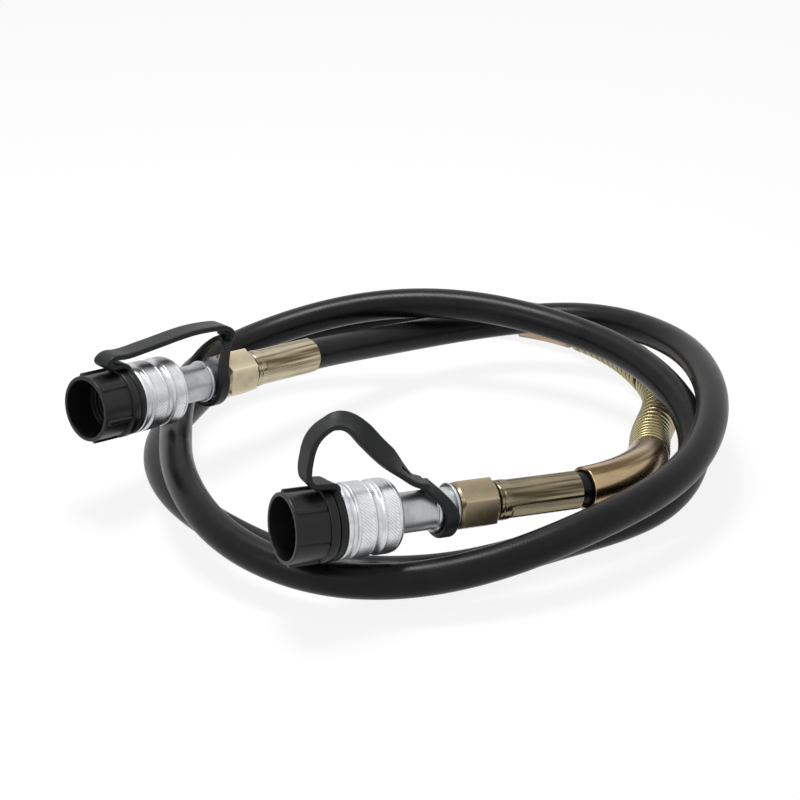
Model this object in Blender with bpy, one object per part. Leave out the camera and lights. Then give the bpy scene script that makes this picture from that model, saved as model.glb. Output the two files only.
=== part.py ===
"""High-pressure hydraulic hose assembly lying in loose turns.

A wire-braided rubber hose carries a crimped fitting, a quick coupler half and a tethered dust cap at each end.
A strip-wound guard keeps the hose from kinking behind end B. Metres, +Z up, the floor is z = 0.
"""
import math

import bmesh
import bpy
import numpy as np
from mathutils import Matrix, Vector

for stale in list(bpy.data.objects):
    bpy.data.objects.remove(stale, do_unlink=True)

# Clearances shared by every fit
SEAT_GAP = 0.0003
RUNNING_GAP = 0.0005

# Hose
HOSE_OD = 0.0160
HOSE_BORE = 0.0088
HOSE_ENTRY = 0.0050
HOSE_STEP = 0.0400
HOSE_FINE_STEP = 0.0120

# Crimped ferrule
FERRULE_WALL = 0.0009
FERRULE_LENGTH = 0.0427
FERRULE_LIP = 0.0033
FERRULE_CHAMFER = 0.0006
CRIMP_FLATS = 8
CRIMP_DEPTH = 0.0005
CRIMP_LENGTH = 0.0362

# Hose stem with its spanner hexagon
OIL_BORE = 0.0046
TAIL_BARB = 0.0004
TAIL_BARBS = 2
STEM_SHOULDER_LENGTH = 0.0036
STEM_SHOULDER_OD = 0.0140
STEM_WAIST_OD = 0.0110
HEX_AF = 0.0210
HEX_LENGTH = 0.0206
HEX_CHAMFER = 0.0011
NOSE_OD = 0.0126
NOSE_LENGTH = 0.0120

# Coupler body
SHOULDER_OD = 0.0216
SHOULDER_LENGTH = 0.0020
SHOULDER_CHAMFER = 0.0008
BEAD_OD = 0.0206
BEAD_LENGTH = 0.0020
BEAD_ROUND = 0.0005
NECK_OD = 0.0182
NECK_LENGTH = 0.0187
SPIGOT_STEP = 0.0025
SPIGOT_CHAMFER = 0.0008
CHAMBER_BORE = 0.0124
CHAMBER_LENGTH = 0.0290
MOUTH_DEPTH = 0.0042

# Locking collar and its thrust ring
COLLAR_OD = 0.0336
COLLAR_LENGTH = 0.0284
COLLAR_LIP = 0.0028
COLLAR_CROWN = 0.0037
COLLAR_RIM = 0.0028
COLLAR_GROOVE_WIDTH = 0.0016
COLLAR_GROOVE_DEPTH = 0.0009
COLLAR_BAND = 0.0092
COLLAR_WAIST_WIDTH = 0.0056
COLLAR_WAIST_DEPTH = 0.0010
THRUST_RING_WIDTH = 0.0017

# Valve inside the coupler
SEAT_LENGTH = 0.0034
SEAT_OD = 0.0154
SEAT_PORT = 0.0080
SEAT_CONE = 0.0014
POPPET_HEAD = 0.0044
POPPET_STEM_OD = 0.0036
POPPET_PIN_OD = 0.0044
POPPET_PIN_LENGTH = 0.0048
POPPET_TRAVEL = 0.0030
GUIDE_LENGTH = 0.0060
GUIDE_FLATS = 3
GUIDE_FLAT_DEPTH = 0.0013
SPRING_WIRE = 0.0010
SPRING_OD = 0.0090
SPRING_TURNS = 5.5

# Dust cap, gasket and strap
GASKET_THICKNESS = 0.0012
GASKET_WIDTH = 0.0036
PLUG_OD = 0.0258
PLUG_RECESS_BORE = 0.0120
PLUG_RECESS_DEPTH = 0.0024
FLANGE_OD = 0.0342
FLANGE_WIDTH = 0.0044
CUP_OD = 0.0315
CUP_LENGTH = 0.0201
CUP_WALL = 0.0019
CUP_FLOOR = 0.0038
CUP_STEP_BORE = 0.0210
CUP_STEP_DEPTH = 0.0018
CUP_EDGE = 0.0006
RIB_COUNT = 6
RIB_WIDTH = 0.0017
RIB_HEIGHT = 0.0012
RIB_INSET = 0.0012
RIB_PHASE = math.radians(50.0)
EYE_WIDTH = 0.0034
EYE_WALL = 0.0036
LOOP_WIDTH = 0.0065
LOOP_WALL = 0.0027
STRAP_WIDTH = 0.0105
STRAP_THICKNESS = 0.0028

# Guard behind end B, measured along the hose from its ferrule mouth
GUARD_WALL = 0.0016
GUARD_FIT = 0.0007
GUARD_START = 0.0050
GUARD_NEAR_LENGTH = 0.0680
GUARD_COIL_LENGTH = 0.2020
GUARD_FAR_LENGTH = 0.0330
GUARD_END_GAP = 0.0006
STRIP_WIDTH = 0.0047
STRIP_GAP = 0.0015
STRIP_OPENING = 0.0042
STRIP_OPENING_PLACE = 0.590

# Where the couplers lie: ferrule mouth, heading and upward tilt of the axis towards the cap
ENDS = {
    "a": {"mouth": (-0.0414, 0.0492, 0.0381), "heading": 226.0, "tilt": 6.5},
    "b": {"mouth": (0.0854, -0.0965, 0.0326), "heading": 206.7, "tilt": 5.5},
}

# Chosen route of the hose from mouth A to mouth B, in millimetres
ROUTE_MM = (
    (-0.2, 90, 30), (50.8, 120, 27), (106.8, 117, 32), (145.8, 79, 36), (159.8, 25, 39),
    (157.8, -23, 38), (137.8, -76, 33), (88.8, -124, 27.5), (36.8, -148, 19.4), (-21.2, -151.5, 16.4),
    (-71.2, -121, 20.6), (-97.2, -68, 26), (-105.2, -9, 23.5), (-102.2, 46, 27), (-67.2, 90, 33),
    (-12.2, 105, 43), (44.8, 101, 45), (97.8, 78, 40), (134.8, 35, 35), (150.4, -19.4, 22.6),
    (129, -70.6, 12.5), (81.8, -103, 10), (30.8, -127, 8.4), (-26.2, -127, 8.4), (-71.2, -94, 8.4),
    (-102.2, -51, 8.4), (-114.2, 10, 8.4), (-100.2, 65, 8.4), (-81.2, 119, 8.4), (-39.2, 157, 8.4),
    (15.8, 175, 9), (73.8, 168, 11), (118.8, 133, 11), (136.8, 95, 11), (142.8, 50, 11),
    (133.3, 10, 12.3), (126.8, -33, 20.6), (114.8, -70, 28.6),
)

# Chosen middle lines of the straps between eye and loop: station past the eye's middle face and height
STRAP_MM = {
    "a": ((0.2, 17.2), (2.8, 18.9), (7.0, 19.2), (10.8, 19.6), (12.6, 21.3), (10.8, 23.2), (4.0, 23.7),
          (-8.0, 24.4), (-21.0, 26.0), (-40.0, 28.0), (-56.0, 27.6), (-63.4, 25.6), (-65.6, 23.0)),
    "b": ((0.2, 17.2), (2.8, 18.9), (7.5, 19.4), (11.6, 21.0), (13.2, 25.0), (13.0, 31.6), (10.4, 41.0),
          (-1.4, 47.4), (-12.7, 40.6), (-21.2, 31.7), (-28.9, 23.6), (-35.5, 17.0), (-40.5, 14.0)),
}
STRAP_LOOP_RISE = {"a": 0.0085, "b": 0.0010}
STRAP_LOOP_LEAN = {"a": -0.0095, "b": 0.0080}

# Stations along a coupler, from the ferrule mouth
HOSE_R = HOSE_OD / 2
FERRULE_BORE_R = HOSE_R + SEAT_GAP
FERRULE_R = FERRULE_BORE_R + FERRULE_WALL
LIP_START = FERRULE_LENGTH - FERRULE_LIP
STEM_SHOULDER_START = LIP_START - SEAT_GAP - STEM_SHOULDER_LENGTH
HOSE_END_START = HOSE_ENTRY + SEAT_GAP
HOSE_END_STOP = STEM_SHOULDER_START - SEAT_GAP
HEX_START = FERRULE_LENGTH + SEAT_GAP
HEX_STOP = HEX_START + HEX_LENGTH
SHOULDER_START = HEX_STOP + SEAT_GAP
SHOULDER_STOP = SHOULDER_START + SHOULDER_LENGTH
LOOP_START = SHOULDER_STOP + SEAT_GAP
LOOP_STOP = LOOP_START + LOOP_WIDTH
BEAD_START = LOOP_STOP + SEAT_GAP
BEAD_STOP = BEAD_START + BEAD_LENGTH
COLLAR_START = BEAD_STOP + NECK_LENGTH
COLLAR_STOP = COLLAR_START + COLLAR_LENGTH
RING_START = COLLAR_START + COLLAR_LIP + SEAT_GAP
RING_STOP = RING_START + THRUST_RING_WIDTH
SPIGOT_START = RING_STOP + SEAT_GAP
SPIGOT_OD = NECK_OD + 2 * SPIGOT_STEP
NOSE_FACE = COLLAR_STOP - MOUTH_DEPTH
SEAT_START = NOSE_FACE - SEAT_LENGTH
CHAMBER_STOP = SEAT_START - SEAT_GAP
CHAMBER_START = CHAMBER_STOP - CHAMBER_LENGTH
SOCKET_STOP = SHOULDER_START + NOSE_LENGTH
GUIDE_START = CHAMBER_START + SEAT_GAP
GUIDE_STOP = GUIDE_START + GUIDE_LENGTH
POPPET_FACE = SEAT_START + SEAT_CONE - SEAT_GAP * math.sqrt(2.0)
POPPET_HEAD_FRONT = POPPET_FACE - SEAT_CONE
POPPET_HEAD_BACK = POPPET_FACE - POPPET_HEAD
POPPET_TAIL = GUIDE_START + POPPET_TRAVEL + SEAT_GAP
GASKET_START = NOSE_FACE + SEAT_GAP
PLUG_START = GASKET_START + GASKET_THICKNESS + SEAT_GAP
EYE_START = COLLAR_STOP + SEAT_GAP
EYE_STOP = EYE_START + EYE_WIDTH
CUP_START = EYE_STOP + SEAT_GAP
CUP_STOP = CUP_START + CUP_LENGTH
FLANGE_STOP = CUP_START + FLANGE_WIDTH
RIB_START = CUP_START + FLANGE_WIDTH / 2
RIB_STOP = CUP_STOP - RIB_INSET
GUARD_R_IN = HOSE_R + GUARD_FIT
GUARD_R_OUT = GUARD_R_IN + GUARD_WALL
COIL_START = GUARD_START + GUARD_NEAR_LENGTH + GUARD_END_GAP
COIL_STOP = COIL_START + GUARD_COIL_LENGTH
FAR_START = COIL_STOP + GUARD_END_GAP
FAR_STOP = FAR_START + GUARD_FAR_LENGTH


def end_frame(end):
    """Matrix of a coupler: X runs from the mouth to the cap, Z is as upright as it can be."""
    spec = ENDS[end]
    heading, tilt = math.radians(spec["heading"]), math.radians(spec["tilt"])
    x = Vector((math.cos(tilt) * math.cos(heading), math.cos(tilt) * math.sin(heading), math.sin(tilt)))
    z = (Vector((0.0, 0.0, 1.0)) - x * x.z).normalized()
    turn = Matrix((x, z.cross(x), z)).transposed().to_4x4()
    return Matrix.Translation(spec["mouth"]) @ turn


def smooth_curve(points, start, stop, samples=40):
    """Clamped cubic spline by chord length through chosen points, as an array of samples."""
    points = np.array(points, float)
    chord = np.linalg.norm(np.diff(points, axis=0), axis=1)
    count = len(points)
    left = np.zeros((count, count))
    right = np.zeros(points.shape)
    left[0, 0] = left[-1, -1] = 1.0
    right[0], right[-1] = start, stop
    for i in range(1, count - 1):
        back, ahead = chord[i - 1], chord[i]
        left[i, i - 1:i + 2] = ahead, 2 * (back + ahead), back
        rise = (points[i] - points[i - 1]) / back
        run = (points[i + 1] - points[i]) / ahead
        right[i] = 3 * (ahead * rise + back * run)
    slope = np.linalg.solve(left, right)
    rows = []
    for i in range(count - 1):
        for k in range(samples):
            u = k / samples
            rows.append((1 + 2 * u) * (1 - u) ** 2 * points[i] + u * (1 - u) ** 2 * chord[i] * slope[i]
                        + u * u * (3 - 2 * u) * points[i + 1] + u * u * (u - 1) * chord[i] * slope[i + 1])
    rows.append(points[-1])
    return np.array(rows)


def natural_curve(points, samples=6):
    """Smooth curve through chosen points whose end directions are those of the end spans."""
    points = np.array(points, float)
    first, last = points[1] - points[0], points[-1] - points[-2]
    return smooth_curve(points, first / np.linalg.norm(first), last / np.linalg.norm(last), samples)


class Centreline:
    """Hose middle line, read by distance back from the mouth of end B."""

    def __init__(self):
        frame_a, frame_b = end_frame("a"), end_frame("b")
        axis_a, axis_b = np.array(frame_a.col[0][:3]), np.array(frame_b.col[0][:3])
        route = [ENDS["a"]["mouth"]] + [tuple(c / 1000 for c in p) for p in ROUTE_MM] + [ENDS["b"]["mouth"]]
        rows = smooth_curve(route, -axis_a, axis_b)[::-1]
        self.rows = np.vstack([rows[0] + axis_b * HOSE_ENTRY, rows, rows[-1] + axis_a * HOSE_ENTRY])
        steps = np.linalg.norm(np.diff(self.rows, axis=0), axis=1)
        self.at = np.concatenate([[0.0], np.cumsum(steps)]) - HOSE_ENTRY
        self.length = self.at[-1]
        tangents = np.gradient(self.rows, self.at, axis=0)
        self.tangents = tangents / np.linalg.norm(tangents, axis=1)[:, None]
        normal = np.cross(self.tangents[0], (0.0, 0.0, 1.0))
        normals = []
        for tangent in self.tangents:
            normal = normal - tangent * (normal @ tangent)
            normal = normal / np.linalg.norm(normal)
            normals.append(normal)
        self.normals = np.array(normals)

    def read(self, table, distance):
        return np.array([np.interp(distance, self.at, table[:, k]) for k in range(3)])

    def frame(self, distance):
        """Point, tangent and two cross directions that turn as little as the hose allows."""
        tangent = self.read(self.tangents, distance)
        tangent = tangent / np.linalg.norm(tangent)
        normal = self.read(self.normals, distance)
        normal = normal - tangent * (normal @ tangent)
        normal = normal / np.linalg.norm(normal)
        return self.read(self.rows, distance), tangent, normal, np.cross(tangent, normal)

    def circle(self, distance, radius, sides):
        point, _, across, up = self.frame(distance)
        turns = [2 * math.pi * k / sides for k in range(sides)]
        return [point + radius * (math.cos(a) * across + math.sin(a) * up) for a in turns]


def material(name, colour, metallic, roughness):
    surface = bpy.data.materials.new(name)
    surface.use_nodes = True
    shader = surface.node_tree.nodes["Principled BSDF"]
    shader.inputs["Base Color"].default_value = (*colour, 1.0)
    shader.inputs["Metallic"].default_value = metallic
    shader.inputs["Roughness"].default_value = roughness
    surface.diffuse_color = (*colour, 1.0)
    return surface


ZINC = ((0.72, 0.73, 0.75), 1.0, 0.28)
STEEL = ((0.55, 0.56, 0.58), 1.0, 0.35)
CHAMPAGNE = ((0.60, 0.55, 0.42), 1.0, 0.34)
BRONZE = ((0.34, 0.30, 0.20), 1.0, 0.38)
OLIVE = ((0.42, 0.38, 0.20), 1.0, 0.36)
RUBBER = ((0.030, 0.031, 0.034), 0.0, 0.55)
PLASTIC = ((0.022, 0.022, 0.024), 0.0, 0.38)
STRAP_BLACK = ((0.040, 0.040, 0.042), 0.0, 0.60)
NITRILE = ((0.015, 0.015, 0.016), 0.0, 0.50)
BRASS = ((0.62, 0.46, 0.20), 1.0, 0.32)
SPRING_STEEL = ((0.38, 0.39, 0.42), 1.0, 0.30)
FINISH = {"a": CHAMPAGNE, "b": BRONZE}


def turned(outline, sides):
    """Spin a (station, radius) outline about X; an outline that starts on the axis stays open there."""
    bm = bmesh.new()
    verts = [bm.verts.new((t, 0.0, r)) for t, r in outline]
    pairs = list(zip(verts, verts[1:]))
    if outline[0][1] > 0.0:
        pairs.append((verts[-1], verts[0]))
    edges = [bm.edges.new(pair) for pair in pairs]
    bmesh.ops.spin(bm, geom=verts + edges, cent=(0, 0, 0), axis=(1, 0, 0), angle=2 * math.pi, steps=sides,
                   use_merge=True)
    bmesh.ops.remove_doubles(bm, verts=bm.verts[:], dist=1e-6)
    bmesh.ops.recalc_face_normals(bm, faces=bm.faces[:])
    return bm


def press_flats(bm, count, apothem, phase, start, stop):
    """Bring what stands outside a prism of flats between two stations down to those flats."""
    pitch = 2 * math.pi / count
    for vert in bm.verts:
        t, y, z = vert.co
        radius = math.hypot(y, z)
        if start - 1e-6 <= t <= stop + 1e-6 and radius > 0.0:
            off = (math.atan2(z, y) - phase + pitch / 2) % pitch - pitch / 2
            scale = min(1.0, apothem / math.cos(off) / radius)
            vert.co = (t, y * scale, z * scale)
    return bm


def lofted(rings, wrap=False):
    """Skin equal rings of points in order, with end faces or joined back to the first ring."""
    bm = bmesh.new()
    rows = [[bm.verts.new(p) for p in ring] for ring in rings]
    count = len(rows[0])
    spans = list(zip(rows, rows[1:])) + ([(rows[-1], rows[0])] if wrap else [])
    for first, second in spans:
        for k in range(count):
            j = (k + 1) % count
            bm.faces.new((first[k], first[j], second[j], second[k]))
    if not wrap:
        bm.faces.new(rows[0][::-1])
        bm.faces.new(rows[-1])
    bmesh.ops.recalc_face_normals(bm, faces=bm.faces[:])
    return bm


def box(size, place):
    bm = bmesh.new()
    bmesh.ops.create_cube(bm, size=1.0, matrix=place @ Matrix.Diagonal((*size, 1.0)))
    return bm


def joined(parts):
    """One mesh out of several separate bmesh bodies."""
    whole = bmesh.new()
    for part in parts:
        mesh = bpy.data.meshes.new("part")
        part.to_mesh(mesh)
        part.free()
        whole.from_mesh(mesh)
        bpy.data.meshes.remove(mesh)
    return whole


def add_object(name, bm, finish, parent=None, station=0.0):
    """Object whose origin sits at a station on the coupler's axis."""
    bmesh.ops.translate(bm, verts=bm.verts[:], vec=(-station, 0.0, 0.0))
    mesh = bpy.data.meshes.new(name)
    bm.to_mesh(mesh)
    bm.free()
    obj = bpy.data.objects.new(name, mesh)
    bpy.context.scene.collection.objects.link(obj)
    if finish:
        mesh.materials.append(material(name, *finish))
    if parent:
        obj.parent = parent
        obj.location = (station, 0.0, 0.0)
    return obj


def unite(obj, tool_bm, parent, station):
    """Add a wire body to an object with a live union."""
    tool = add_object("join_" + obj.name, tool_bm, None, parent, station)
    tool.display_type = "WIRE"
    tool.hide_render = True
    cut = obj.modifiers.new("union", "BOOLEAN")
    cut.operation = "UNION"
    cut.solver = "EXACT"
    cut.object = tool


def ferrule(end, frame):
    outline = [
        (0.0, FERRULE_BORE_R), (0.0, FERRULE_R - FERRULE_CHAMFER), (FERRULE_CHAMFER, FERRULE_R),
        (CRIMP_LENGTH, FERRULE_R), (CRIMP_LENGTH + FERRULE_CHAMFER, FERRULE_R),
        (FERRULE_LENGTH - FERRULE_CHAMFER, FERRULE_R), (FERRULE_LENGTH, FERRULE_R - FERRULE_CHAMFER),
        (FERRULE_LENGTH, STEM_WAIST_OD / 2 + SEAT_GAP), (LIP_START, STEM_WAIST_OD / 2 + SEAT_GAP),
        (LIP_START, FERRULE_BORE_R),
    ]
    bm = turned(outline, 3 * CRIMP_FLATS)
    press_flats(bm, CRIMP_FLATS, FERRULE_R - CRIMP_DEPTH, math.radians(30.0), 0.0, CRIMP_LENGTH)
    add_object("ferrule_" + end, bm, FINISH[end], frame, 0.0)


def hose_end(end, frame):
    outline = [
        (HOSE_END_START, HOSE_BORE / 2), (HOSE_END_START, HOSE_R), (HOSE_END_STOP, HOSE_R),
        (HOSE_END_STOP, HOSE_BORE / 2),
    ]
    add_object("hose_end_" + end, turned(outline, 16), RUBBER, frame, HOSE_END_START)


def hose_stem(end, frame):
    tail_r = HOSE_BORE / 2 - SEAT_GAP
    barb = (HOSE_END_STOP - HOSE_END_START) / TAIL_BARBS
    outline = [(HOSE_END_START, OIL_BORE / 2), (HOSE_END_START, tail_r - TAIL_BARB)]
    for k in range(TAIL_BARBS):
        crest = HOSE_END_START + (k + 1) * barb
        outline += [(crest - 2 * TAIL_BARB, tail_r), (crest, tail_r), (crest, tail_r - TAIL_BARB)]
    corner = HEX_AF / math.sqrt(3.0)
    outline += [
        (STEM_SHOULDER_START, tail_r - TAIL_BARB), (STEM_SHOULDER_START, STEM_SHOULDER_OD / 2),
        (LIP_START - SEAT_GAP, STEM_SHOULDER_OD / 2), (LIP_START - SEAT_GAP, STEM_WAIST_OD / 2),
        (HEX_START, STEM_WAIST_OD / 2), (HEX_START, corner - HEX_CHAMFER),
        (HEX_START + HEX_CHAMFER, corner), (HEX_STOP - HEX_CHAMFER, corner),
        (HEX_STOP, corner - HEX_CHAMFER), (HEX_STOP, NOSE_OD / 2),
        (HEX_STOP + NOSE_LENGTH, NOSE_OD / 2), (HEX_STOP + NOSE_LENGTH, OIL_BORE / 2),
    ]
    bm = turned(outline, 12)
    press_flats(bm, 6, HEX_AF / 2, 0.0, HEX_START, HEX_STOP)
    add_object("hose_stem_" + end, bm, FINISH[end], frame, HEX_START)


def coupler_body(end, frame):
    outline = [
        (SHOULDER_START, NOSE_OD / 2 + SEAT_GAP), (SHOULDER_START, SHOULDER_OD / 2 - SHOULDER_CHAMFER),
        (SHOULDER_START + SHOULDER_CHAMFER, SHOULDER_OD / 2), (SHOULDER_STOP, SHOULDER_OD / 2),
        (SHOULDER_STOP, NECK_OD / 2), (BEAD_START, NECK_OD / 2), (BEAD_START, BEAD_OD / 2 - BEAD_ROUND),
        (BEAD_START + BEAD_ROUND, BEAD_OD / 2), (BEAD_STOP - BEAD_ROUND, BEAD_OD / 2),
        (BEAD_STOP, BEAD_OD / 2 - BEAD_ROUND), (BEAD_STOP, NECK_OD / 2), (SPIGOT_START, NECK_OD / 2),
        (SPIGOT_START, SPIGOT_OD / 2), (NOSE_FACE - SPIGOT_CHAMFER, SPIGOT_OD / 2),
        (NOSE_FACE, SPIGOT_OD / 2 - SPIGOT_CHAMFER), (NOSE_FACE, SEAT_OD / 2 + SEAT_GAP),
        (CHAMBER_STOP, SEAT_OD / 2 + SEAT_GAP), (CHAMBER_STOP, CHAMBER_BORE / 2),
        (CHAMBER_START, CHAMBER_BORE / 2), (CHAMBER_START, OIL_BORE / 2), (SOCKET_STOP, OIL_BORE / 2),
        (SOCKET_STOP, NOSE_OD / 2 + SEAT_GAP),
    ]
    add_object("coupler_body_" + end, turned(outline, 20), ZINC, frame, SHOULDER_START)


def thrust_ring(end, frame):
    inner = NECK_OD / 2 + SEAT_GAP
    outline = [
        (RING_START, inner), (RING_START, SPIGOT_OD / 2), (RING_STOP, SPIGOT_OD / 2), (RING_STOP, inner),
    ]
    add_object("thrust_ring_" + end, turned(outline, 16), BRASS, frame, RING_START)


def collar(end, frame):
    outer = COLLAR_OD / 2
    groove = COLLAR_STOP - COLLAR_RIM
    band = groove - COLLAR_GROOVE_WIDTH
    waist = band - COLLAR_BAND
    crown = COLLAR_START + COLLAR_CROWN
    outline = [
        (COLLAR_START, NECK_OD / 2 + RUNNING_GAP), (COLLAR_START, outer - COLLAR_CROWN),
        (COLLAR_START + 0.3 * COLLAR_CROWN, outer - 0.35 * COLLAR_CROWN), (crown, outer),
        (waist - COLLAR_WAIST_WIDTH, outer), (waist - 0.8 * COLLAR_WAIST_WIDTH, outer - COLLAR_WAIST_DEPTH),
        (waist - 0.2 * COLLAR_WAIST_WIDTH, outer - COLLAR_WAIST_DEPTH), (waist, outer), (band, outer),
        (band + 0.25 * COLLAR_GROOVE_WIDTH, outer - COLLAR_GROOVE_DEPTH),
        (groove - 0.25 * COLLAR_GROOVE_WIDTH, outer - COLLAR_GROOVE_DEPTH), (groove, outer),
        (COLLAR_STOP, outer - SPIGOT_CHAMFER), (COLLAR_STOP, PLUG_OD / 2 + RUNNING_GAP),
        (NOSE_FACE, PLUG_OD / 2 + RUNNING_GAP), (NOSE_FACE, SPIGOT_OD / 2 + RUNNING_GAP),
        (COLLAR_START + COLLAR_LIP, SPIGOT_OD / 2 + RUNNING_GAP),
        (COLLAR_START + COLLAR_LIP, NECK_OD / 2 + RUNNING_GAP),
    ]
    add_object("collar_" + end, turned(outline, 24), ZINC, frame, COLLAR_START)


def valve_guide(end, frame):
    outer = CHAMBER_BORE / 2 - SEAT_GAP
    inner = POPPET_STEM_OD / 2 + SEAT_GAP
    outline = [(GUIDE_START, inner), (GUIDE_START, outer), (GUIDE_STOP, outer), (GUIDE_STOP, inner)]
    bm = turned(outline, 18)
    press_flats(bm, GUIDE_FLATS, outer - GUIDE_FLAT_DEPTH, 0.0, GUIDE_START, GUIDE_STOP)
    add_object("valve_guide_" + end, bm, BRASS, frame, GUIDE_START)


def valve_spring(end, frame):
    middle = (SPRING_OD - SPRING_WIRE) / 2
    first = GUIDE_STOP + SEAT_GAP + SPRING_WIRE / 2
    last = POPPET_HEAD_BACK - SEAT_GAP - SPRING_WIRE / 2
    per_turn, rings = 8, []
    steps = round(SPRING_TURNS * per_turn)
    for i in range(steps + 1):
        t = first + (last - first) * i / steps
        a = 2 * math.pi * i / per_turn
        out = Vector((0.0, math.cos(a), math.sin(a)))
        centre = Vector((t, 0.0, 0.0)) + middle * out
        ring = []
        for k in range(5):
            b = 2 * math.pi * k / 5
            ring.append(centre + SPRING_WIRE / 2 * (math.cos(b) * out + Vector((math.sin(b), 0.0, 0.0))))
        rings.append(ring)
    add_object("valve_spring_" + end, lofted(rings), SPRING_STEEL, frame, GUIDE_STOP)


def valve_poppet(end, frame):
    head = SEAT_PORT / 2 + SEAT_CONE
    outline = [
        (POPPET_TAIL, 0.0), (POPPET_TAIL, POPPET_STEM_OD / 2), (POPPET_HEAD_BACK, POPPET_STEM_OD / 2),
        (POPPET_HEAD_BACK, head), (POPPET_HEAD_FRONT, head), (POPPET_FACE, head - SEAT_CONE),
        (POPPET_FACE, POPPET_PIN_OD / 2), (POPPET_FACE + POPPET_PIN_LENGTH, POPPET_PIN_OD / 2),
        (POPPET_FACE + POPPET_PIN_LENGTH, 0.0),
    ]
    add_object("valve_poppet_" + end, turned(outline, 16), STEEL, frame, POPPET_FACE)


def valve_seat(end, frame):
    port = SEAT_PORT / 2
    outline = [
        (SEAT_START, port + SEAT_CONE), (SEAT_START, SEAT_OD / 2), (NOSE_FACE, SEAT_OD / 2), (NOSE_FACE, port),
        (SEAT_START + SEAT_CONE, port),
    ]
    add_object("valve_seat_" + end, turned(outline, 16), BRASS, frame, SEAT_START)


def cap_gasket(end, frame):
    outer = PLUG_OD / 2 - SEAT_GAP
    inner = outer - GASKET_WIDTH
    stop = GASKET_START + GASKET_THICKNESS
    outline = [(GASKET_START, inner), (GASKET_START, outer), (stop, outer), (stop, inner)]
    add_object("cap_gasket_" + end, turned(outline, 16), NITRILE, frame, GASKET_START)


def dust_cap(end, frame):
    plug, cup, flange = PLUG_OD / 2, CUP_OD / 2, FLANGE_OD / 2
    bore = cup - CUP_WALL
    floor = CUP_START + CUP_FLOOR
    ledge = floor + CUP_STEP_DEPTH
    outline = [
        (PLUG_START + PLUG_RECESS_DEPTH, 0.0), (PLUG_START + PLUG_RECESS_DEPTH, PLUG_RECESS_BORE / 2),
        (PLUG_START, PLUG_RECESS_BORE / 2), (PLUG_START, plug), (CUP_START, plug), (CUP_START, flange - CUP_EDGE),
        (CUP_START + CUP_EDGE, flange), (FLANGE_STOP - CUP_EDGE, flange), (FLANGE_STOP, flange - CUP_EDGE),
        (FLANGE_STOP, cup), (CUP_STOP - CUP_EDGE, cup), (CUP_STOP, cup - CUP_EDGE), (CUP_STOP, bore),
        (ledge, bore), (ledge, CUP_STEP_BORE / 2), (floor, CUP_STEP_BORE / 2), (floor, 0.0),
    ]
    obj = add_object("dust_cap_" + end, turned(outline, 24), PLASTIC, frame, CUP_START)
    ribs = []
    depth = CUP_WALL / 2 + RIB_HEIGHT
    for k in range(RIB_COUNT):
        turn = Matrix.Rotation(RIB_PHASE + 2 * math.pi * k / RIB_COUNT, 4, "X")
        place = turn @ Matrix.Translation(((RIB_START + RIB_STOP) / 2, cup + RIB_HEIGHT - depth / 2, 0))
        ribs.append(box((RIB_STOP - RIB_START, depth, RIB_WIDTH), place))
    unite(obj, joined(ribs), frame, CUP_START)


def strap(end, frame):
    eye_in = PLUG_OD / 2 + SEAT_GAP
    eye_out = eye_in + EYE_WALL
    eye_mid = (EYE_START + EYE_STOP) / 2
    eye = turned([(EYE_START, eye_in), (EYE_START, eye_out), (EYE_STOP, eye_out), (EYE_STOP, eye_in)], 24)
    loop_in = BEAD_OD / 2 + SEAT_GAP
    loop_out = loop_in + LOOP_WALL
    loop_mid = (LOOP_START + LOOP_STOP) / 2
    loop = turned([(LOOP_START, loop_in), (LOOP_START, loop_out), (LOOP_STOP, loop_out), (LOOP_STOP, loop_in)], 24)
    rise, lean = STRAP_LOOP_RISE[end], STRAP_LOOP_LEAN[end]
    for vert in loop.verts:
        t, y, z = vert.co
        up = max(0.0, z) / math.hypot(y, z)
        vert.co = (t + lean * up ** 4, y, z + rise * up ** 3)
    chosen = [(eye_mid + t / 1000, u / 1000) for t, u in STRAP_MM[end]]
    route = [(eye_mid, eye_out - EYE_WALL / 2)] + chosen + [(loop_mid + lean, loop_out + rise - LOOP_WALL / 3)]
    line = natural_curve(route, 3)
    along = np.gradient(line, axis=0)
    along = along / np.linalg.norm(along, axis=1)[:, None]
    rings = []
    for (t, u), (dt, du) in zip(line, along):
        half_w, half_h = STRAP_WIDTH / 2, STRAP_THICKNESS / 2
        corners = ((-half_w, -half_h), (half_w, -half_h), (half_w, half_h), (-half_w, half_h))
        rings.append([Vector((t - du * h, w, u + dt * h)) for w, h in corners])
    obj = add_object("strap_" + end, lofted(rings), STRAP_BLACK, frame, eye_mid)
    unite(obj, joined([eye, loop]), frame, eye_mid)


def hose(line):
    """Plain round tube on a polyline that is finer in the guard and next to the mouths."""
    stops = [-HOSE_ENTRY, 0.0]
    while stops[-1] < line.length - HOSE_ENTRY - HOSE_STEP:
        fine = stops[-1] < FAR_STOP or stops[-1] > line.length - HOSE_ENTRY - 2 * HOSE_STEP
        stops.append(stops[-1] + (HOSE_FINE_STEP if fine else HOSE_STEP))
    left = line.length - HOSE_ENTRY - stops[-1]
    count = max(2, math.ceil(left / HOSE_FINE_STEP))
    stops += [stops[-1] + left * (k + 1) / count for k in range(count)] + [line.length]
    curve = bpy.data.curves.new("hose", "CURVE")
    curve.dimensions = "3D"
    curve.bevel_depth = HOSE_R
    curve.bevel_resolution = 3
    curve.use_fill_caps = True
    spline = curve.splines.new("POLY")
    spline.points.add(len(stops) - 1)
    for point, stop in zip(spline.points, stops):
        point.co = (*line.read(line.rows, stop), 1.0)
    obj = bpy.data.objects.new("hose", curve)
    curve.materials.append(material("hose", *RUBBER))
    bpy.context.scene.collection.objects.link(obj)


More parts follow.
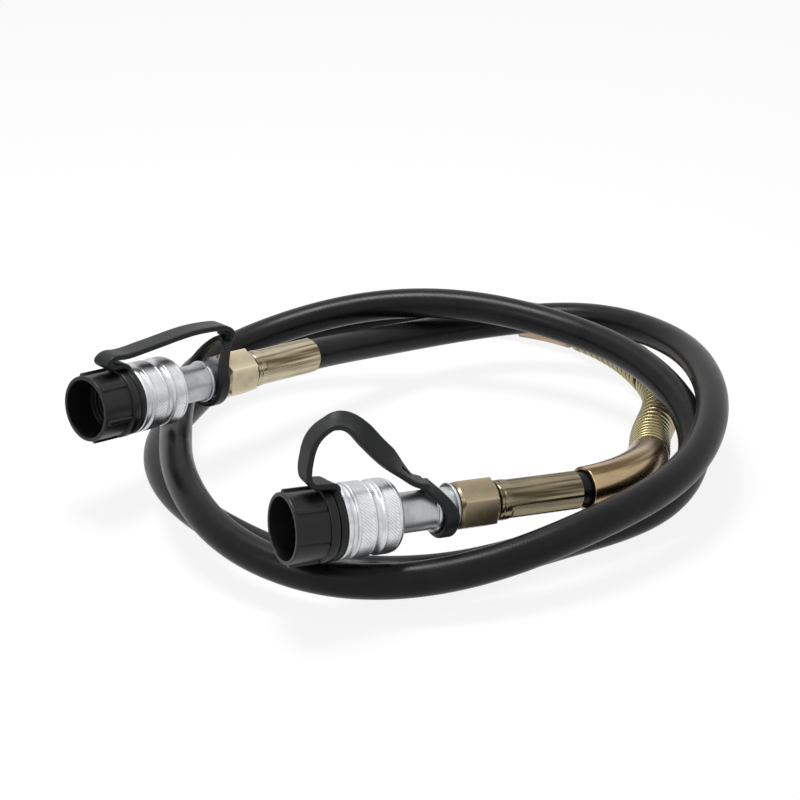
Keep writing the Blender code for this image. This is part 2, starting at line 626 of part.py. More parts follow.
def guard_sleeve(name, line, start, stop):
    count = max(3, round((stop - start) / HOSE_FINE_STEP) + 1)
    stops = [start + (stop - start) * k / (count - 1) for k in range(count)]
    rings = [line.circle(s, GUARD_R_OUT, 16) for s in stops]
    rings += [line.circle(s, GUARD_R_IN, 16) for s in reversed(stops)]
    add_object(name, lofted(rings, wrap=True), OLIVE)


def guard_spring(line):
    """Flat strip wound round the hose, with one place where the turns have drawn apart."""
    per_turn = 10
    pitch = STRIP_WIDTH + STRIP_GAP
    run = COIL_STOP - COIL_START - STRIP_WIDTH - STRIP_OPENING
    turns = math.floor(run / pitch * per_turn) / per_turn
    opening = STRIP_OPENING_PLACE * turns
    first = COIL_START + STRIP_WIDTH / 2
    advance = run / turns
    ease = 1.0 / math.cos(math.pi / per_turn)
    rings = []
    for i in range(round(turns * per_turn) + 1):
        turn = i / per_turn
        part = min(1.0, max(0.0, turn - opening))
        centre = first + turn * advance + STRIP_OPENING * part * part * (3 - 2 * part)
        point, tangent, across, up = line.frame(centre)
        out = math.cos(2 * math.pi * turn) * across + math.sin(2 * math.pi * turn) * up
        inner, outer = point + (HOSE_R + SEAT_GAP) * ease * out, point + GUARD_R_OUT * out
        half = tangent * STRIP_WIDTH / 2
        rings.append([inner - half, outer - half, outer + half, inner + half])
    add_object("guard_spring", lofted(rings), OLIVE)


def build():
    for end in ENDS:
        frame = bpy.data.objects.new("frame_" + end, None)
        frame.empty_display_size = FERRULE_LENGTH
        bpy.context.scene.collection.objects.link(frame)
        frame.matrix_world = end_frame(end)
        for make in (ferrule, hose_end, hose_stem, coupler_body, thrust_ring, collar, valve_guide, valve_spring,
                     valve_poppet, valve_seat, cap_gasket, dust_cap, strap):
            make(end, frame)
    line = Centreline()
    hose(line)
    guard_sleeve("guard_sleeve_near", line, GUARD_START, GUARD_START + GUARD_NEAR_LENGTH)
    guard_spring(line)
    guard_sleeve("guard_sleeve_far", line, FAR_START, FAR_STOP)


build()
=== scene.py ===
"""Dress a coiled hydraulic hose assembly: hose, crimped fittings, quick couplers, dust caps, straps and bend guard.

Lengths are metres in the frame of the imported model. Every piece is shaped on a straight axis first and then moved
to its coupler or bent along the hose, so its object stays at the origin.
"""
import math
from types import SimpleNamespace

import bmesh
import bpy
import numpy as np
from bpy.props import FloatProperty, FloatVectorProperty, IntProperty, PointerProperty
from bpy.types import NodeSocket, Operator, Panel, PropertyGroup
from mathutils import Matrix, Vector


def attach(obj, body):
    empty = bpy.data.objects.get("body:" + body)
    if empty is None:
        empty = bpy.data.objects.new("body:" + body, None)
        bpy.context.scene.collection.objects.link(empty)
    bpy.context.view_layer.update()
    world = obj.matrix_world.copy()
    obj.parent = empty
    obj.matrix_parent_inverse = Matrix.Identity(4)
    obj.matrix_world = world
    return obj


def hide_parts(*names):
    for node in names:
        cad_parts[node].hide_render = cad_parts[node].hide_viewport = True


bl_info = {
    "name": "Hydraulic hose assembly",
    "version": (1, 0, 0),
    "blender": (4, 5, 0),
    "location": "View3D > Sidebar > Hose",
    "description": "Builds the visible pieces of a coiled hydraulic hose assembly round its packed solids",
    "category": "Object",
}

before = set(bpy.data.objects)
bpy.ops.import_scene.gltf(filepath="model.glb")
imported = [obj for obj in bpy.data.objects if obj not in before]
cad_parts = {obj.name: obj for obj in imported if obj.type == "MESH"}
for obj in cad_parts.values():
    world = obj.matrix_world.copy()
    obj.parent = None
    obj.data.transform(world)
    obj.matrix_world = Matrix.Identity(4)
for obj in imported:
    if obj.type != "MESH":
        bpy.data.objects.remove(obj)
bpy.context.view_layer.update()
MM = 0.001
FLOOR_HALF = 6.0
FLOOR_GLOW = 1.04
SLEEVE_RING = 0.002
OPENING_PLACE = 0.59  # share of the coil's turns before the two that have drawn apart

# Coupler ends: ferrule mouth, heading and upward tilt of the axis from the mouth to the cap
ENDS = {
    "a": ((-0.0414, 0.0492, 0.0381), 226.0, 6.5),
    "b": ((0.0854, -0.0965, 0.0326), 206.7, 5.5),
}

# Route of the hose from mouth A to mouth B, in millimetres
ROUTE_MM = (
    (-0.2, 90, 30), (50.8, 120, 27), (106.8, 117, 32), (145.8, 79, 36), (159.8, 25, 39),
    (157.8, -23, 38), (137.8, -76, 33), (88.8, -124, 27.5), (36.8, -148, 19.4), (-21.2, -151.5, 16.4),
    (-71.2, -121, 20.6), (-97.2, -68, 26), (-105.2, -9, 23.5), (-102.2, 46, 27), (-67.2, 90, 33),
    (-12.2, 105, 43), (44.8, 101, 45), (97.8, 78, 40), (134.8, 35, 35), (150.4, -19.4, 22.6),
    (129, -70.6, 12.5), (81.8, -103, 10), (30.8, -127, 8.4), (-26.2, -127, 8.4), (-71.2, -94, 8.4),
    (-102.2, -51, 8.4), (-114.2, 10, 8.4), (-100.2, 65, 8.4), (-81.2, 119, 8.4), (-39.2, 157, 8.4),
    (15.8, 175, 9), (73.8, 168, 11), (118.8, 133, 11), (136.8, 95, 11), (142.8, 50, 11),
    (133.3, 10, 12.3), (126.8, -33, 20.6), (114.8, -70, 28.6),
)

# Middle lines of the straps: distance past the middle of the eye and height over the axis, in millimetres
STRAP_MM = {
    "a": ((0.2, 17.2), (2.8, 18.9), (7.0, 19.2), (10.8, 19.6), (12.6, 21.3), (10.8, 23.2), (4.0, 23.7),
          (-8.0, 24.4), (-21.0, 26.0), (-40.0, 28.0), (-56.0, 27.6), (-63.4, 25.6), (-65.6, 23.0)),
    "b": ((0.2, 17.2), (2.8, 18.9), (7.5, 19.4), (11.6, 21.0), (13.2, 25.0), (13.0, 31.6), (10.4, 41.0),
          (-1.4, 47.4), (-12.7, 40.6), (-21.2, 32.0), (-28.9, 25.0), (-36.0, 18.3), (-41.0, 14.6)),
}
STRAP_LOOP_RISE = {"a": 0.0085, "b": 0.0010}
STRAP_LOOP_LEAN = {"a": -0.0095, "b": 0.0095}
STRAP_LOOP_BEND = {"a": 4, "b": 2}
# Roll of strap B in degrees by distance past the middle of the eye in millimetres
STRAP_ROLL = ((-46, -40, -33, -26, -14, -2, 4), (0, 5, 25, 55, 65, 25, 0))


def linear(code):
    """Linear RGBA of an sRGB hex code."""
    parts = [int(code[i:i + 2], 16) / 255 for i in (1, 3, 5)]
    return [c / 12.92 if c <= 0.04045 else ((c + 0.055) / 1.055) ** 2.4 for c in parts] + [1.0]


def length(name, description, default):
    return FloatProperty(name=name, description=description, default=default, min=0.0, precision=5,
                         subtype="DISTANCE", unit="LENGTH")


def colour(name, description, code):
    return FloatVectorProperty(name=name, description=description, default=linear(code)[:3], size=3, min=0.0,
                               max=1.0, subtype="COLOR")


class HoseSizes(PropertyGroup):
    diameter: length("Hose diameter", "Outside diameter of the rubber cover", 0.0160)
    entry: length("Entry", "Length of free hose inside each ferrule mouth", 0.0050)
    step: length("Ring spacing", "Distance between the rings of the tube", 0.0040)


class FittingSizes(PropertyGroup):
    gap: length("Seat gap", "Clearance between seated pieces", 0.0003)
    ferrule_wall: length("Ferrule wall", "Wall of the crimped ferrule", 0.0009)
    ferrule_length: length("Ferrule length", "Length of the crimped ferrule", 0.0427)
    ferrule_lip: length("Ferrule lip", "Length of the lip that grips the stem", 0.0033)
    crimp_length: length("Crimp length", "Length of the pressed flats", 0.0362)
    crimp_depth: length("Crimp depth", "How far the dies press the flats in", 0.0005)
    waist: length("Stem waist", "Diameter of the stem under the ferrule lip", 0.0110)
    oil_bore: length("Oil bore", "Bore of the stem", 0.0046)
    hex_flats: length("Hexagon", "Width of the hexagon across its flats", 0.0210)
    hex_length: length("Hexagon length", "Length of the hexagon", 0.0206)
    nose: length("Nose", "Diameter of the stem's nose in the coupler", 0.0126)
    nose_length: length("Nose length", "Length of the stem's nose", 0.0120)


class CouplerSizes(PropertyGroup):
    shoulder: length("Shoulder", "Diameter of the shoulder behind the strap loop", 0.0216)
    shoulder_length: length("Shoulder length", "Length of that shoulder", 0.0020)
    bead: length("Bead", "Diameter of the bead that keeps the loop on", 0.0206)
    bead_length: length("Bead length", "Length of that bead", 0.0020)
    neck: length("Neck", "Diameter of the smooth neck", 0.0182)
    neck_length: length("Neck length", "Free length of the neck", 0.0187)
    spigot: length("Spigot", "Diameter of the body inside the collar", 0.0232)
    collar: length("Collar", "Diameter of the knurled collar", 0.0336)
    collar_length: length("Collar length", "Length of the knurled collar", 0.0284)
    collar_lip: length("Collar lip", "Thickness of the collar's rear lip", 0.0028)
    mouth: length("Mouth depth", "Depth of the collar's mouth over the body", 0.0042)
    ring: length("Thrust ring", "Width of the thrust ring behind the spigot", 0.0017)
    knurl_depth: length("Knurl depth", "Height of the knurl's points", 0.00034)
    knurl_count: IntProperty(name="Knurl points", description="Points round the collar", default=64, min=12)


class CapSizes(PropertyGroup):
    plug: length("Plug", "Diameter of the cap's plug in the collar", 0.0258)
    gasket: length("Gasket", "Thickness of the gasket under the plug", 0.0012)
    recess: length("Recess", "Bore of the recess over the valve pin", 0.0120)
    recess_depth: length("Recess depth", "Depth of that recess", 0.0024)
    flange: length("Flange", "Diameter of the flange next to the strap's eye", 0.0342)
    flange_width: length("Flange width", "Width of that flange", 0.0044)
    cup: length("Cup", "Outside diameter of the cap's cup", 0.0315)
    cup_length: length("Cup length", "Length of the cap's cup with its flange", 0.0201)
    wall: length("Cup wall", "Wall of the cup", 0.0019)
    floor: length("Cup floor", "Thickness of the cup's floor", 0.0038)
    rib_height: length("Rib height", "Height of the grip ribs", 0.0012)
    rib_width: length("Rib width", "Width of the grip ribs", 0.0022)
    rib_inset: length("Rib inset", "Distance of the ribs from the cup's mouth", 0.0012)
    ribs: IntProperty(name="Ribs", description="Grip ribs round the cup", default=6, min=2)


class StrapSizes(PropertyGroup):
    width: length("Strap width", "Width of the strap", 0.0105)
    thickness: length("Strap thickness", "Thickness of the strap", 0.0028)
    eye: length("Eye", "Width of the eye between cap and collar", 0.0034)
    eye_wall: length("Eye wall", "Wall of the eye", 0.0036)
    loop: length("Loop", "Width of the loop round the coupler", 0.0065)
    loop_wall: length("Loop wall", "Wall of the loop", 0.0027)
    slot_width: length("Slot width", "Width of the slot near the loop of strap B", 0.0018)
    slot_length: length("Slot length", "Length of that slot", 0.0078)
    slot_start: length("Slot start", "Distance of that slot from the loop", 0.0085)


class GuardSizes(PropertyGroup):
    wall: length("Guard wall", "Wall of the sleeves and thickness of the coil", 0.0016)
    fit: length("Guard fit", "Clearance of the sleeves round the hose", 0.0007)
    start: length("Guard start", "Bare hose between ferrule and guard", 0.0050)
    near: length("Near sleeve", "Length of the sleeve next to the ferrule", 0.0680)
    coil: length("Coil", "Length of the strip coil", 0.2020)
    far: length("Far sleeve", "Length of the sleeve at the far end", 0.0330)
    end_gap: length("End gap", "Clearance between coil and sleeves", 0.0006)
    strip: length("Strip", "Width of the wound strip", 0.0039)
    strip_gap: length("Strip gap", "Gap between turns of the strip", 0.0023)
    opening: length("Opening", "Extra gap where two turns have drawn apart", 0.0042)


class Finishes(PropertyGroup):
    rubber: colour("Rubber", "Extruded rubber cover of the hose", "#141415")
    zinc: colour("Bright zinc", "Bright zinc of the coupler bodies", "#c2c4c6")
    frost: colour("Frosted zinc", "Paler zinc of the knurled collars", "#dcdddf")
    champagne: colour("Champagne passivate", "Pale passivated zinc of fitting A", "#b5ab92")
    bronze: colour("Bronze passivate", "Darker passivated zinc of fitting B", "#8d806a")
    gold: colour("Gold passivate", "Yellow passivated zinc of the guard's sleeves", "#b29c76")
    olive: colour("Olive passivate", "Yellow-green passivated zinc of the guard's coil", "#938d60")
    plastic: colour("Cap plastic", "Moulded plastic of the caps", "#161617")
    strap: colour("Strap plastic", "Soft plastic of the straps", "#1f2021")
    floor: colour("Floor", "Pale studio floor", "#f4f4f4")


class StudioSettings(PropertyGroup):
    lens: FloatProperty(name="Lens", description="Focal length on a 36 mm sensor", default=97.2, unit="CAMERA")
    elevation: FloatProperty(name="Elevation", description="Height of the view over the horizon",
                             default=math.radians(24.0), subtype="ANGLE", unit="ROTATION")
    distance: length("Distance", "Camera to aim point", 1.160)
    aim: FloatVectorProperty(name="Aim", description="Point in the middle of the picture",
                             default=(0.0058, 0.0780, 0.0), size=3, subtype="TRANSLATION", unit="LENGTH")
    overhead: FloatProperty(name="Overhead lamp", description="Power of the lamp above", default=9.0,
                            unit="POWER")
    side: FloatProperty(name="Side lamp", description="Power of the lamp at the left front", default=2.0,
                        unit="POWER")
    ambient: FloatProperty(name="Room light", description="Level of the even light from all sides", default=0.22,
                           min=0.0, max=1.0, subtype="FACTOR")
    lift: FloatProperty(name="Floor lift", description="Share of white in the floor that keeps its shadow faint",
                        default=0.85, min=0.0, max=1.0, subtype="FACTOR")


GROUPS = {
    "hose_cover": HoseSizes, "hose_fitting": FittingSizes, "hose_coupler": CouplerSizes, "hose_cap": CapSizes,
    "hose_strap": StrapSizes, "hose_guard": GuardSizes, "hose_finish": Finishes, "hose_studio": StudioSettings,
}


def end_frame(end):
    """Matrix of a coupler: X from the mouth to the cap, Z as upright as it can be."""
    mouth, heading, tilt = ENDS[end]
    heading, tilt = math.radians(heading), math.radians(tilt)
    x = Vector((math.cos(tilt) * math.cos(heading), math.cos(tilt) * math.sin(heading), math.sin(tilt)))
    z = (Vector((0.0, 0.0, 1.0)) - x * x.z).normalized()
    return Matrix.Translation(mouth) @ Matrix((x, z.cross(x), z)).transposed().to_4x4()


def stations(scene):
    """Distances along a coupler from its ferrule mouth, chained from the sizes."""
    fit, body, cap, strap = scene.hose_fitting, scene.hose_coupler, scene.hose_cap, scene.hose_strap
    s = SimpleNamespace(gap=fit.gap)
    s.lip = fit.ferrule_length - fit.ferrule_lip
    s.hex = fit.ferrule_length + fit.gap
    s.hex_stop = s.hex + fit.hex_length
    s.shoulder = s.hex_stop + fit.gap
    s.shoulder_stop = s.shoulder + body.shoulder_length
    s.loop = s.shoulder_stop + fit.gap
    s.loop_stop = s.loop + strap.loop
    s.bead = s.loop_stop + fit.gap
    s.bead_stop = s.bead + body.bead_length
    s.collar = s.bead_stop + body.neck_length
    s.collar_stop = s.collar + body.collar_length
    s.spigot = s.collar + body.collar_lip + body.ring + 2 * fit.gap
    s.face = s.collar_stop - body.mouth
    s.plug = s.face + cap.gasket + 2 * fit.gap
    s.eye = s.collar_stop + fit.gap
    s.eye_stop = s.eye + strap.eye
    s.cup = s.eye_stop + fit.gap
    s.cup_stop = s.cup + cap.cup_length
    return s


def smooth_curve(points, start, stop, samples):
    """Clamped cubic spline by chord length through chosen points."""
    points = np.array(points, float)
    chord = np.linalg.norm(np.diff(points, axis=0), axis=1)
    count = len(points)
    left = np.zeros((count, count))
    right = np.zeros(points.shape)
    left[0, 0] = left[-1, -1] = 1.0
    right[0], right[-1] = start, stop
    for i in range(1, count - 1):
        back, ahead = chord[i - 1], chord[i]
        left[i, i - 1:i + 2] = ahead, 2 * (back + ahead), back
        right[i] = 3 * (ahead * (points[i] - points[i - 1]) / back + back * (points[i + 1] - points[i]) / ahead)
    slope = np.linalg.solve(left, right)
    rows = []
    for i in range(count - 1):
        for k in range(samples):
            u = k / samples
            rows.append((1 + 2 * u) * (1 - u) ** 2 * points[i] + u * (1 - u) ** 2 * chord[i] * slope[i]
                        + u * u * (3 - 2 * u) * points[i + 1] + u * u * (u - 1) * chord[i] * slope[i + 1])
    rows.append(points[-1])
    return np.array(rows)


class Centreline:
    """Middle line of the hose, read by distance back from the mouth of end B."""

    def __init__(self, entry):
        axes = {end: np.array(end_frame(end).col[0][:3]) for end in ENDS}
        route = [ENDS["a"][0], *(np.array(ROUTE_MM) * MM), ENDS["b"][0]]
        rows = smooth_curve(route, -axes["a"], axes["b"], 40)[::-1]
        self.rows = np.vstack([rows[0] + axes["b"] * entry, rows, rows[-1] + axes["a"] * entry])
        steps = np.linalg.norm(np.diff(self.rows, axis=0), axis=1)
        self.at = np.concatenate([[0.0], np.cumsum(steps)]) - entry
        self.stop = self.at[-1]
        tangents = np.gradient(self.rows, self.at, axis=0)
        self.tangents = tangents / np.linalg.norm(tangents, axis=1)[:, None]
        across = np.cross(self.tangents[0], (0.0, 0.0, 1.0))
        sides = []
        for tangent in self.tangents:
            across = across - tangent * (across @ tangent)
            across = across / np.linalg.norm(across)
            sides.append(across)
        self.sides = np.array(sides)

    def frames(self, distances):
        """Points and two cross directions at many distances."""
        point, tangent, across = (np.stack([np.interp(distances, self.at, table[:, k]) for k in range(3)], axis=1)
                                  for table in (self.rows, self.tangents, self.sides))
        tangent /= np.linalg.norm(tangent, axis=1)[:, None]
        across -= tangent * np.sum(across * tangent, axis=1)[:, None]
        across /= np.linalg.norm(across, axis=1)[:, None]
        return point, across, np.cross(tangent, across)

    def bend(self, bm):
        """Move a straight bmesh, whose X is distance from mouth B, on to the hose."""
        co = np.array([v.co for v in bm.verts])
        point, across, up = self.frames(co[:, 0])
        for vert, place in zip(bm.verts, point + across * co[:, 1:2] + up * co[:, 2:3]):
            vert.co = place


def turned(outline, steps):
    """Spin an outline of (station, radius, rounding) about X; one that starts on the axis stays open there."""
    bm = bmesh.new()
    verts = [bm.verts.new((p[0], 0.0, p[1])) for p in outline]
    pairs = list(zip(verts, verts[1:]))
    if outline[0][1] > 0.0:
        pairs.append((verts[-1], verts[0]))
    for pair in pairs:
        bm.edges.new(pair)
    for size in sorted({p[2] for p in outline if len(p) > 2}):
        corners = [v for v, p in zip(verts, outline) if len(p) > 2 and p[2] == size]
        bmesh.ops.bevel(bm, geom=corners, offset=size, offset_type="OFFSET", affect="VERTICES", segments=4,
                        profile=0.5, material=-1)
    bmesh.ops.spin(bm, geom=bm.verts[:] + bm.edges[:], cent=(0, 0, 0), axis=(1, 0, 0), angle=2 * math.pi,
                   steps=steps, use_merge=True)
    bmesh.ops.remove_doubles(bm, verts=bm.verts[:], dist=1e-6)
    bmesh.ops.recalc_face_normals(bm, faces=bm.faces[:])
    return bm


def wrap_uv(bm, radius):
    """UV in metres round and along the axis, and each point's place on the straight axis as an attribute."""
    place = bm.verts.layers.float_vector.new("straight")
    for vert in bm.verts:
        vert[place] = vert.co
    layer = bm.loops.layers.uv.new("UVMap")
    for face in bm.faces:
        turns = [math.atan2(loop.vert.co.z, loop.vert.co.y) for loop in face.loops]
        for loop, turn in zip(face.loops, turns):
            if max(turns) - turn > math.pi:
                turn += 2 * math.pi
            t, y, z = loop.vert.co
            loop[layer].uv = (turn * radius, t + 0.83 * math.hypot(y, z))


def press_flats(bm, count, apothem, phase, start, stop):
    """Bring what stands outside a prism of flats between two stations down to those flats."""
    pitch = 2 * math.pi / count
    for vert in bm.verts:
        t, y, z = vert.co
        radius = math.hypot(y, z)
        if start - 1e-6 <= t <= stop + 1e-6 and radius > 0.0:
            off = (math.atan2(z, y) - phase + pitch / 2) % pitch - pitch / 2
            scale = min(1.0, apothem / math.cos(off) / radius)
            vert.co = (t, y * scale, z * scale)


def publish(name, bm, finish, body, slot, *nodes, sharp=32.0, end=None):
    """Turn a finished bmesh, moved to its coupler, into a piece that rides on a body and stands for CAD nodes."""
    if end:
        bmesh.ops.transform(bm, matrix=end_frame(end), verts=bm.verts[:])
    mesh = bpy.data.meshes.new(name)
    bm.to_mesh(mesh)
    bm.free()
    mesh.materials.append(finish)
    mesh.polygons.foreach_set("use_smooth", [True] * len(mesh.polygons))
    mesh.set_sharp_from_angle(angle=math.radians(sharp))
    piece = bpy.data.objects.new(name, mesh)
    bpy.context.scene.collection.objects.link(piece)
    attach(piece, body)
    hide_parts(*nodes)
    return piece


def add(tree, kind, inputs=None, **fields):
    """Add one shader node, set its fields, and set or link its inputs."""
    made = tree.nodes.new("ShaderNode" + kind)
    for key, value in fields.items():
        setattr(made, key, value)
    for key, value in (inputs or {}).items():
        if isinstance(value, NodeSocket):
            tree.links.new(value, made.inputs[key])
        else:
            made.inputs[key].default_value = value
    return made


def blank(name):
    """New material with an empty tree, its Principled shader and both coordinate outputs."""
    finish = bpy.data.materials.new(name)
    finish.use_nodes = True
    tree = finish.node_tree
    tree.nodes.clear()
    shader = add(tree, "BsdfPrincipled")
    add(tree, "OutputMaterial", {"Surface": shader.outputs[0]})
    spot = add(tree, "TexCoord")
    return finish, tree, shader, spot.outputs["UV"], spot.outputs["Object"]


def shade(tint, factor):
    """A lighter or darker version of a colour property as RGBA."""
    return [min(1.0, c * factor) for c in tint] + [1.0]


def plated_metal(name, tint, drift, rough, patch=9.0, lathe=0.7, relief=0.04, turning=0.10, reflection_streak=None,
                 reflection_streak_width=3.0, straight=True):
    """Zinc-plated steel: passivation drifting in hue, turning lines round the axis, painted reflections along it.

    patch, lathe and reflection_streak_width are the sizes of the hue patches, turning lines and painted reflection
    streaks in millimetres; real turning lines are about 0.1 mm and are drawn coarser so that they show.
    """
    finish, tree, shader, _, spot = blank(name)
    along = add(tree, "Attribute", attribute_name="straight").outputs["Vector"] if straight else spot
    cloud = add(tree, "TexNoise", {"Vector": spot, "Scale": 1 / (patch * MM), "Detail": 4.0, "Roughness": 0.6})
    spread = add(tree, "MapRange", {"Value": cloud.outputs["Fac"], "From Min": 0.36, "From Max": 0.64})
    tone = add(tree, "Mix", {0: spread.outputs[0], "A": shade(tint, 1.0), "B": linear(drift)},
               data_type="RGBA").outputs["Result"]
    # Darker streaks along the axis are painted reflection: dark surroundings mirrored in the metal
    if reflection_streak:
        drawn = add(tree, "Mapping", {"Vector": along, "Scale": (1 / (90 * MM), 1 / (reflection_streak_width * MM),
                                                                 1 / (reflection_streak_width * MM))})
        bands = add(tree, "TexNoise", {"Vector": drawn.outputs[0], "Scale": 1.0, "Detail": 2.0, "Roughness": 0.5})
        depth = add(tree, "MapRange", {"Value": bands.outputs["Fac"], "From Min": 0.44, "From Max": 0.60})
        tone = add(tree, "Mix", {0: depth.outputs[0], "A": tone, "B": linear(reflection_streak)},
                   data_type="RGBA").outputs["Result"]
    fine = add(tree, "Mapping", {"Vector": along, "Scale": (1 / (lathe * MM), 1 / (30 * MM), 1 / (30 * MM))})
    lines = add(tree, "TexNoise", {"Vector": fine.outputs[0], "Scale": 1.0, "Detail": 3.0, "Roughness": 0.7})
    level = add(tree, "MapRange", {"Value": lines.outputs["Fac"], "From Min": 0.3, "From Max": 0.7,
                                   "To Min": 1.0 - turning, "To Max": 1.0 + turning / 2})
    tone = add(tree, "Mix", {0: 1.0, "A": tone, "B": level.outputs[0]}, data_type="RGBA",
               blend_type="MULTIPLY").outputs["Result"]
    # Edges picked out by pointiness go paler: a painted highlight, as if the chamfers caught the light
    edge = add(tree, "NewGeometry")
    highlight_edge_mask = add(tree, "MapRange", {"Value": edge.outputs["Pointiness"], "From Min": 0.52, "From Max": 0.60})
    edge_highlight = add(tree, "Mix", {0: highlight_edge_mask.outputs[0], "A": tone, "B": shade(tint, 1.5)}, data_type="RGBA")
    tree.links.new(edge_highlight.outputs["Result"], shader.inputs["Base Color"])
    shader.inputs["Metallic"].default_value = 1.0
    matt = add(tree, "MapRange", {"Value": cloud.outputs["Fac"], "From Min": 0.3, "From Max": 0.7,
                                  "To Min": rough * 0.85, "To Max": rough * 1.2})
    tree.links.new(matt.outputs[0], shader.inputs["Roughness"])
    bump = add(tree, "Bump", {"Height": lines.outputs["Fac"], "Strength": 0.3, "Distance": relief * MM})
    tree.links.new(bump.outputs[0], shader.inputs["Normal"])
    return finish


def hose_rubber(tint):
    """Nitrile rubber cover cured in a cloth wrap: a faint spiral weave, soft sheen and greyish handling marks.

    The cloth print of a real cover is about 0.7 mm; it is drawn at 1.6 mm so that it shows.
    """
    finish, tree, shader, uv, spot = blank("cloth_wrapped_rubber")
    weave_size = 1.6 * MM
    slant = add(tree, "Mapping", {"Vector": uv, "Rotation": (0.0, 0.0, math.radians(28.0)),
                                  "Scale": (1 / weave_size, 1 / weave_size, 1.0)})
    warp = add(tree, "TexWave", {"Vector": slant.outputs[0], "Scale": 0.32, "Distortion": 0.8, "Detail": 2.0},
               bands_direction="X")
    weft = add(tree, "TexWave", {"Vector": slant.outputs[0], "Scale": 0.32, "Distortion": 0.8, "Detail": 2.0},
               bands_direction="Y")
    cloth = add(tree, "Math", {0: warp.outputs["Fac"], 1: weft.outputs["Fac"]}, operation="MULTIPLY")
    dust = add(tree, "TexNoise", {"Vector": spot, "Scale": 1 / (14 * MM), "Detail": 6.0, "Roughness": 0.65})
    level = add(tree, "MapRange", {"Value": dust.outputs["Fac"], "From Min": 0.35, "From Max": 0.75})
    base = add(tree, "Mix", {0: level.outputs[0], "A": shade(tint, 0.8), "B": shade(tint, 1.8)},
               data_type="RGBA")
    tree.links.new(base.outputs["Result"], shader.inputs["Base Color"])
    matt = add(tree, "MapRange", {"Value": dust.outputs["Fac"], "From Min": 0.3, "From Max": 0.7,
                                  "To Min": 0.25, "To Max": 0.36})
    tree.links.new(matt.outputs[0], shader.inputs["Roughness"])
    bump = add(tree, "Bump", {"Height": cloth.outputs[0], "Strength": 0.25, "Distance": 0.05 * MM})
    tree.links.new(bump.outputs[0], shader.inputs["Normal"])
    shader.inputs["Specular IOR Level"].default_value = 0.16
    return finish


def moulded_plastic(name, tint, rough, grain, sheen=0.5):
    """Moulded plastic: spark-eroded grain, slight flow variation and paler edges that are a painted highlight.

    sheen is the strength of the surface reflection; soft black plastic gives back little of the white room.
    """
    finish, tree, shader, _, spot = blank(name)
    fine = add(tree, "TexNoise", {"Vector": spot, "Scale": 1 / (grain * MM), "Detail": 3.0, "Roughness": 0.55})
    flow = add(tree, "TexNoise", {"Vector": spot, "Scale": 1 / (11 * MM), "Detail": 4.0, "Roughness": 0.6})
    level = add(tree, "MapRange", {"Value": flow.outputs["Fac"], "From Min": 0.3, "From Max": 0.7})
    base = add(tree, "Mix", {0: level.outputs[0], "A": shade(tint, 0.82), "B": shade(tint, 1.25)},
               data_type="RGBA")
    # Edges picked out by pointiness go much paler: a painted highlight along rims and ribs
    edge = add(tree, "NewGeometry")
    highlight_edge_mask = add(tree, "MapRange", {"Value": edge.outputs["Pointiness"], "From Min": 0.53, "From Max": 0.62})
    edge_highlight = add(tree, "Mix", {0: highlight_edge_mask.outputs[0], "A": base.outputs["Result"], "B": shade(tint, 2.6)},
               data_type="RGBA")
    tree.links.new(edge_highlight.outputs["Result"], shader.inputs["Base Color"])
    matt = add(tree, "MapRange", {"Value": flow.outputs["Fac"], "From Min": 0.3, "From Max": 0.7,
                                  "To Min": rough * 0.85, "To Max": rough * 1.15})
    tree.links.new(matt.outputs[0], shader.inputs["Roughness"])
    bump = add(tree, "Bump", {"Height": fine.outputs["Fac"], "Strength": 0.3, "Distance": 0.04 * MM})
    tree.links.new(bump.outputs[0], shader.inputs["Normal"])
    shader.inputs["Specular IOR Level"].default_value = sheen
    return finish


def seen_ray(tree):
    """Factor that is 1 for what the camera sees, straight or in a reflection or through a clear piece."""
    path = add(tree, "LightPath")
    seen = path.outputs["Is Camera Ray"]
    for kind in ("Is Glossy Ray", "Is Transmission Ray"):
        seen = add(tree, "Math", {0: seen, 1: path.outputs[kind]}, operation="MAXIMUM").outputs[0]
    return seen


